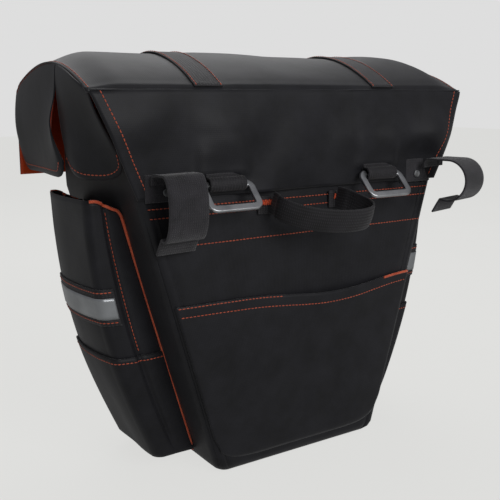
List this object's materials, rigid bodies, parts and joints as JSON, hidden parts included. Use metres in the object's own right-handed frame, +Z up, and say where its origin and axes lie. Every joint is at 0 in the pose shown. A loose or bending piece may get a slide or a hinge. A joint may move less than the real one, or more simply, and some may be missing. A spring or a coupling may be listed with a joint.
{
  "type": "bicycle pannier bag",
  "caption": "Tapered soft pannier bag with a domed lid on a sewn hinge, buckle closures, side pockets, a rack-side patch pocket, steel hook loops, hook-and-loop straps and a webbing handle.",
  "frame": {"origin": "centre of the base, on the surface that the bag stands on", "axes": "+Z up, -Y towards the bicycle rack, +X to the right when looking at the rack side"},
  "size_m": [0.408, 0.2373, 0.3839],
  "materials": {
    "coated_polyester": "black woven polyester with a matt coated sheen, sewn with orange thread",
    "black_webbing": "flat woven black webbing",
    "hook_and_loop_tape": "black hook-and-loop tape, brushed",
    "grey_steel": "satin grey plated steel",
    "black_plastic": "moulded black acetal",
    "stiffener_board": "dark grey polyethylene board",
    "reflective_tape": "grey retroreflective tape"
  },
  "bodies": {
    "bag": {"back_stiffener": "stiffener_board", "base_panel": "coated_polyester", "base_stiffener": "stiffener_board", "buckle_female_left": "black_plastic", "buckle_female_right": "black_plastic", "closure_strap_left": "black_webbing", "closure_strap_right": "black_webbing", "grip_strap_root_left": "hook_and_loop_tape", "grip_strap_root_right": "hook_and_loop_tape", "handle_anchor_left": "black_webbing", "handle_anchor_right": "black_webbing", "hook_tab_left": "black_webbing", "hook_tab_right": "black_webbing", "lid_rear_panel": "coated_polyester", "outer_panel": "coated_polyester", "pocket_face_left": "coated_polyester", "pocket_face_right": "coated_polyester", "pocket_floor_left": "coated_polyester", "pocket_floor_right": "coated_polyester", "pocket_gusset_outer_left": "coated_polyester", "pocket_gusset_outer_right": "coated_polyester", "pocket_gusset_rack_left": "coated_polyester", "pocket_gusset_rack_right": "coated_polyester", "rack_panel": "coated_polyester", "rack_pocket_panel": "coated_polyester", "reflective_strip_left": "reflective_tape", "reflective_strip_right": "reflective_tape", "side_panel_left": "coated_polyester", "side_panel_right": "coated_polyester", "strap_rivet_left": "grey_steel", "strap_rivet_right": "grey_steel"},
    "lid": {"lid_top": "coated_polyester", "lid_outer_drop": "coated_polyester", "lid_wing_left": "coated_polyester", "lid_wing_right": "coated_polyester", "lid_strap_left": "black_webbing", "lid_strap_right": "black_webbing"},
    "hook_loop_left": {"hook_left": "grey_steel"},
    "hook_loop_right": {"hook_right": "grey_steel"},
    "clip_left": {"buckle_male_left": "black_plastic"},
    "clip_right": {"buckle_male_right": "black_plastic"},
    "handle": {"carry_handle": "black_webbing"},
    "grip_left": {"grip_strap_left": "hook_and_loop_tape"},
    "grip_right": {"grip_strap_right": "hook_and_loop_tape"}
  },
  "joints": [
    {"name": "lid_hinge", "type": "hinge", "parent": "bag", "child": "lid", "pos_m": [0, -0.0825, 0.35], "axis": [1, 0, 0], "range_deg": [0, 170]},
    {"name": "hook_left_swing", "type": "hinge", "parent": "bag", "child": "hook_loop_left", "pos_m": [-0.087, -0.08909, 0.268], "axis": [1, 0, 0], "range_deg": [-40, 35]},
    {"name": "hook_right_swing", "type": "hinge", "parent": "bag", "child": "hook_loop_right", "pos_m": [0.087, -0.08909, 0.268], "axis": [1, 0, 0], "range_deg": [-40, 35]},
    {"name": "buckle_left_clip", "type": "slide", "parent": "lid", "child": "clip_left", "axis": [0, 0, -1], "range_m": [0, 0.0195]},
    {"name": "buckle_right_clip", "type": "slide", "parent": "lid", "child": "clip_right", "axis": [0, 0, -1], "range_m": [0, 0.0195]},
    {"name": "handle_swing", "type": "hinge", "parent": "bag", "child": "handle", "pos_m": [0, -0.0866, 0.25], "axis": [1, 0, 0], "range_deg": [-75, 10]},
    {"name": "grip_left_swing", "type": "hinge", "parent": "bag", "child": "grip_left", "pos_m": [-0.137, -0.08569, 0.279], "axis": [0.9945, 0.1045, 0], "range_deg": [-45, 2]},
    {"name": "grip_right_swing", "type": "hinge", "parent": "bag", "child": "grip_right", "pos_m": [0.161, -0.08862, 0.279], "axis": [0.9659, 0.2588, 0], "range_deg": [-45, 8]}
  ]
}
